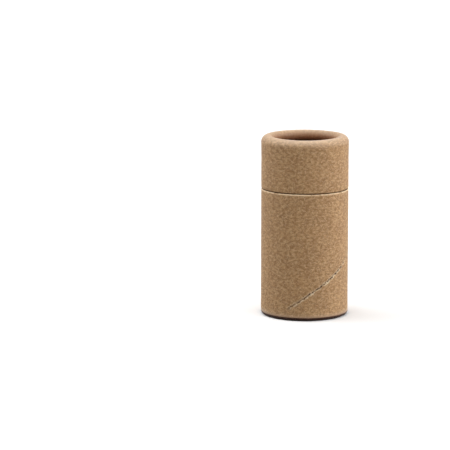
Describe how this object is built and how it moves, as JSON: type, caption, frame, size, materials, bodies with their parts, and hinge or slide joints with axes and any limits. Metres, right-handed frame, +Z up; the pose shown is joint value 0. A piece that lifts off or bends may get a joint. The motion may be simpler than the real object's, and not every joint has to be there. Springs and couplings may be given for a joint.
{
  "type": "lip balm paper tube",
  "caption": "Push-up paperboard tube for lip balm: kraft body on a hemmed foot, lift-off cap with a rolled rim, white-lined inner tube as its neck, and a board disc pushed up from below.",
  "frame": {"origin": "centre of the ring that the tube stands on, at the height of the ground", "axes": "+Z up along the axis of the tube, from its hemmed foot to the rolled rim of its cap; the tube is round, so +X and +Y are free choices"},
  "size_m": [0.0272, 0.0272, 0.0558],
  "materials": {
    "kraft_board": "matte",
    "kraft_neck": "matte",
    "kraft_disc": "matte",
    "white_liner": "satin"
  },
  "bodies": {
    "body": {"outer_tube": "kraft_board", "inner_tube": "kraft_neck", "tube_liner": "white_liner"},
    "cap": {"cap_tube": "kraft_board", "cap_disc": "kraft_disc"},
    "pusher": {"push_disc": "kraft_disc", "disc_facing": "white_liner"}
  },
  "joints": [
    {"name": "cap_lift", "type": "slide", "parent": "body", "child": "cap", "axis": [0, 0, 1], "range_m": [0, 0.03]},
    {"name": "disc_push", "type": "slide", "parent": "body", "child": "pusher", "axis": [0, 0, 1], "range_m": [0, 0.0371]}
  ]
}
